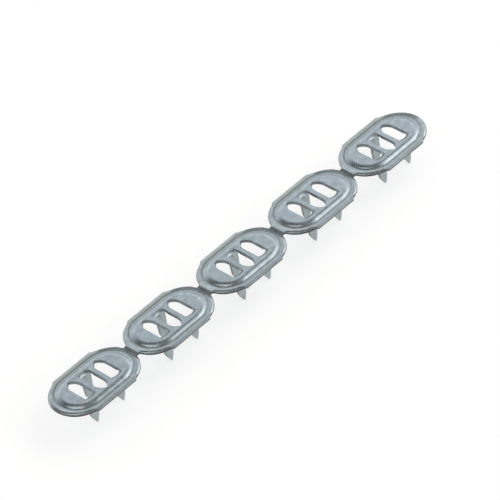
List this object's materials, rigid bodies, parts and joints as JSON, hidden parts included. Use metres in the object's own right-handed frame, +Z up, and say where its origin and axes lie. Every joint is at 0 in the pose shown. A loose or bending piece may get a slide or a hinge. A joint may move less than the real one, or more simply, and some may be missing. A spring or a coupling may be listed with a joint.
{
  "type": "truss nail plate strip",
  "caption": "Stamped strip of joined oblong truss nail plates, each with a raised panel and gouge teeth bent down out of slots.",
  "frame": {"origin": "middle of the strip, on the plane that the tooth tips rest on", "axes": "+X along the strip, +Y across it, +Z up through the plates, away from the tooth tips"},
  "size_m": [0.1496, 0.0192, 0.01],
  "materials": {
    "zinc_coated_steel": "semi-gloss zinc coating on cold rolled sheet, dull and slightly bluish"
  },
  "bodies": {
    "root": {"nail_plate_strip": "zinc_coated_steel"}
  },
  "joints": []
}
